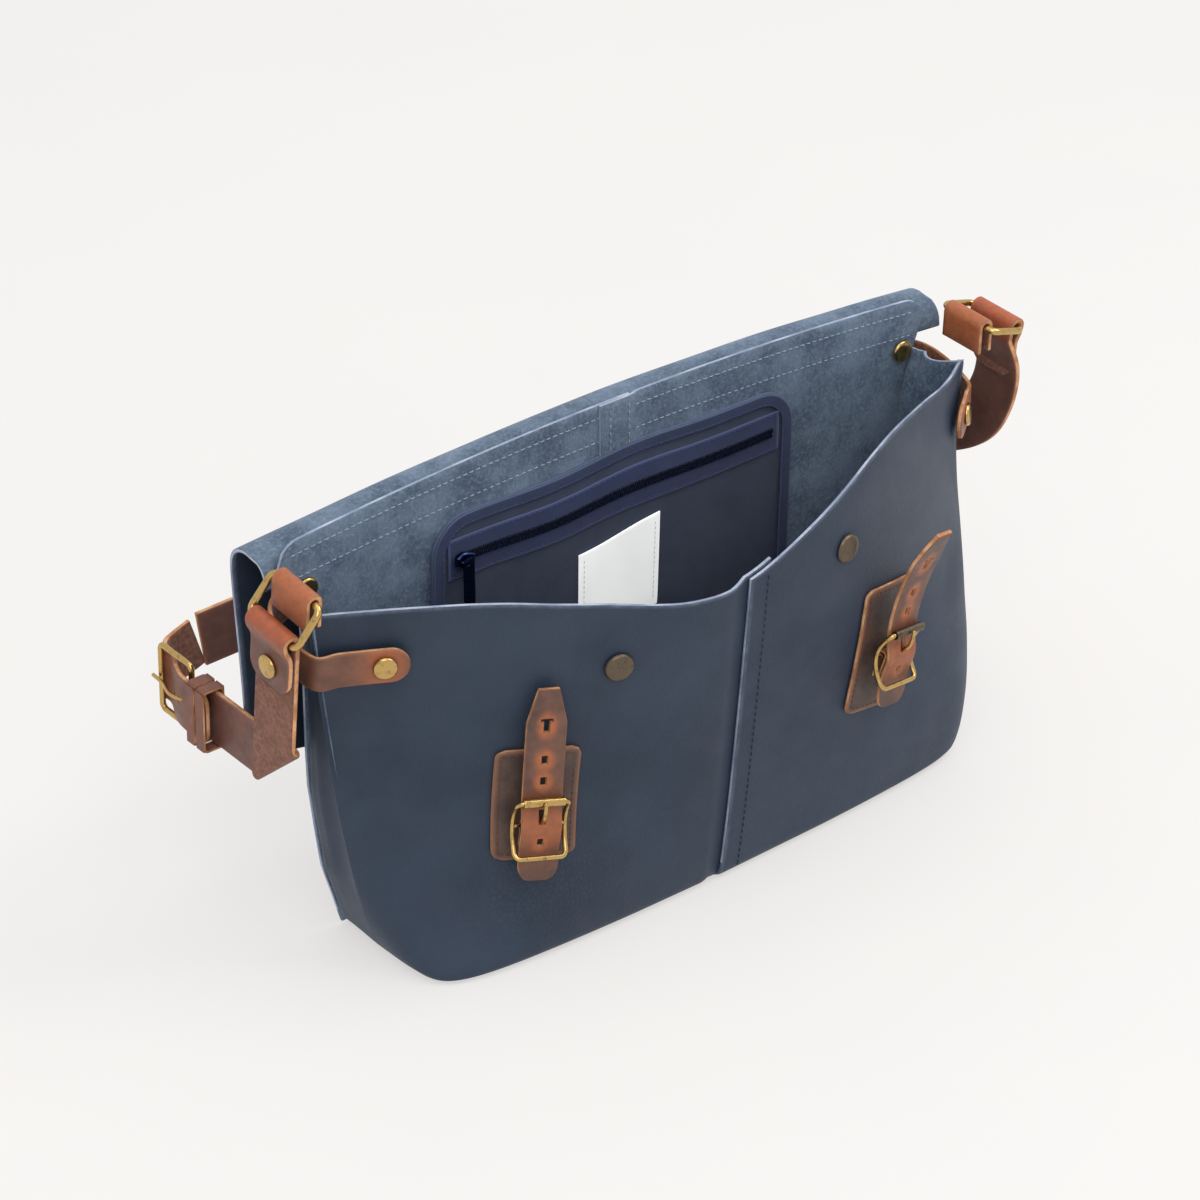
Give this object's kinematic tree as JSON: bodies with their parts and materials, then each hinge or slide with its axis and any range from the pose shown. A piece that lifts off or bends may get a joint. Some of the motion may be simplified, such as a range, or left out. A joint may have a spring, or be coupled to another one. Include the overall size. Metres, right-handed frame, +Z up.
{
  "type": "messenger bag",
  "caption": "Open leather messenger bag with a thrown-back flap, buckled closing tabs, a zipped inner pocket and a riveted shoulder strap on swinging rings.",
  "frame": {"origin": "centre of the base's underside, on the ground", "axes": "+X along the bag to its right end, -Y out of the front, +Z up"},
  "size_m": [0.4748, 0.2251, 0.236],
  "materials": {
    "navy_leather": "matt pebbled leather",
    "suede": "napped flesh side",
    "brown_leather": "waxed, satin",
    "brass": "antique, satin",
    "bronze": "dark antique, satin",
    "navy_cloth": "plain weave, matt",
    "binding": "twill tape, matt",
    "zip_teeth": "satin",
    "label_cloth": "woven, matt",
    "board": "matt"
  },
  "bodies": {
    "root": {"back_panel_left": "navy_leather", "back_panel_right": "navy_leather", "band_rivet_back_left": "brass", "band_rivet_back_right": "brass", "band_rivet_left": "brass", "band_rivet_right": "brass", "base_board": "board", "base_panel": "navy_leather", "chape_left_a": "brown_leather", "chape_left_b": "brown_leather", "chape_right_a": "brown_leather", "chape_right_b": "brown_leather", "end_band_left": "brown_leather", "end_band_right": "brown_leather", "end_panel_left": "navy_leather", "end_panel_right": "navy_leather", "flap_crest_left": "suede", "flap_crest_right": "suede", "front_panel_left": "navy_leather", "front_panel_right": "navy_leather", "label": "label_cloth", "patch_left": "brown_leather", "patch_right": "brown_leather", "pocket_binding": "binding", "pocket_panel": "navy_cloth", "ring_tab_left": "brown_leather", "ring_tab_right": "brown_leather", "snap_cap_left": "bronze", "snap_cap_right": "bronze", "snap_socket_left": "brass", "snap_socket_right": "brass", "zip_tape": "navy_cloth", "zip_teeth": "zip_teeth"},
    "flap_top": {"flap_top_left": "navy_leather", "flap_top_right": "navy_leather"},
    "flap_lip": {"flap_lip_left": "navy_leather", "flap_lip_right": "navy_leather", "flap_stud_left": "brass", "flap_stud_right": "brass"},
    "ring_left": {"ring_left": "brass"},
    "short_strap": {"short_strap": "brown_leather", "short_strap_rivet": "brass", "strap_buckle": "brass", "strap_tail": "brown_leather", "strap_keeper_1": "brown_leather", "strap_keeper_2": "brown_leather"},
    "strap_prong": {"strap_prong": "brass"},
    "ring_right": {"ring_right": "brass"},
    "long_strap": {"long_strap": "brown_leather", "long_strap_rivet": "brass"},
    "buckle_left": {"frame_left": "brass", "tab_left": "brown_leather"},
    "prong_left": {"prong_left": "brass"},
    "roller_left": {"roller_left": "brass"},
    "buckle_right": {"frame_right": "brass", "tab_right": "brown_leather"},
    "prong_right": {"prong_right": "brass"},
    "roller_right": {"roller_right": "brass"},
    "zip_slider": {"zip_slider": "zip_teeth"},
    "zip_puller": {"zip_puller": "zip_teeth"}
  },
  "joints": [
    {"name": "flap_hinge", "type": "hinge", "parent": "root", "child": "flap_top", "pos_m": [0, 0.062, 0.24], "axis": [1, 0, 0], "range_deg": [0, 270], "deforming": ["long_strap", "strap_tail"]},
    {"name": "flap_fold", "type": "hinge", "parent": "flap_top", "child": "flap_lip", "pos_m": [0, 0.0573, 0.092], "axis": [1, 0, 0], "range_deg": [0, 90]},
    {"name": "ring_left_swing", "type": "hinge", "parent": "root", "child": "ring_left", "pos_m": [-0.214, 0.004, 0.222], "axis": [0, 0.9915, 0.1302], "range_deg": [0, 75]},
    {"name": "short_strap_swing", "type": "hinge", "parent": "ring_left", "child": "short_strap", "pos_m": [-0.22724, 0.00629, 0.20458], "axis": [0, 0.9915, 0.1302], "range_deg": [0, 35]},
    {"name": "ring_right_swing", "type": "hinge", "parent": "root", "child": "ring_right", "pos_m": [0.216, 0.009, 0.221], "axis": [0, -0.9987, -0.0504], "range_deg": [-12, 60]},
    {"name": "long_strap_swing", "type": "hinge", "parent": "ring_right", "child": "long_strap", "pos_m": [0.23718, 0.0093, 0.21505], "axis": [0, -0.9987, -0.0504], "range_deg": [-4, 25]},
    {"name": "strap_prong_turn", "type": "hinge", "parent": "short_strap", "child": "strap_prong", "pos_m": [-0.21714, 0.0929, 0.12287], "axis": [0, -0.1807, 0.9835], "range_deg": [0, 12]},
    {"name": "buckle_left_tilt", "type": "hinge", "parent": "root", "child": "buckle_left", "pos_m": [-0.11717, -0.04969, 0.07969], "axis": [0.9143, -0.3936, -0.0955], "range_deg": [-3, 3]},
    {"name": "prong_left_turn", "type": "hinge", "parent": "buckle_left", "child": "prong_left", "pos_m": [-0.11717, -0.04969, 0.07969], "axis": [0.9143, -0.3936, -0.0955], "range_deg": [0, 14]},
    {"name": "roller_left_spin", "type": "hinge", "parent": "buckle_left", "child": "roller_left", "pos_m": [-0.11814, -0.0557, 0.09517], "axis": [0.9143, -0.3936, -0.0955], "continuous": true},
    {"name": "buckle_right_tilt", "type": "hinge", "parent": "root", "child": "buckle_right", "pos_m": [0.09288, -0.07216, 0.10562], "axis": [0.9838, 0.1128, -0.139], "range_deg": [-3, 3]},
    {"name": "prong_right_turn", "type": "hinge", "parent": "buckle_right", "child": "prong_right", "pos_m": [0.09288, -0.07216, 0.10562], "axis": [0.9838, 0.1128, -0.139], "range_deg": [0, 14]},
    {"name": "roller_right_spin", "type": "hinge", "parent": "buckle_right", "child": "roller_right", "pos_m": [0.0958, -0.07977, 0.12013], "axis": [0.9838, 0.1128, -0.139], "continuous": true},
    {"name": "zip_slide", "type": "slide", "parent": "root", "child": "zip_slider", "axis": [1, 0, 0], "range_m": [0, 0.19]},
    {"name": "puller_swing", "type": "hinge", "parent": "zip_slider", "child": "zip_puller", "pos_m": [-0.098, 0.02561, 0.186], "axis": [-1, 0, 0], "range_deg": [0, 150]}
  ],
  "couplings": [
    {"joint": "flap_fold", "follows": "flap_hinge", "ratio": 0.33333}
  ]
}
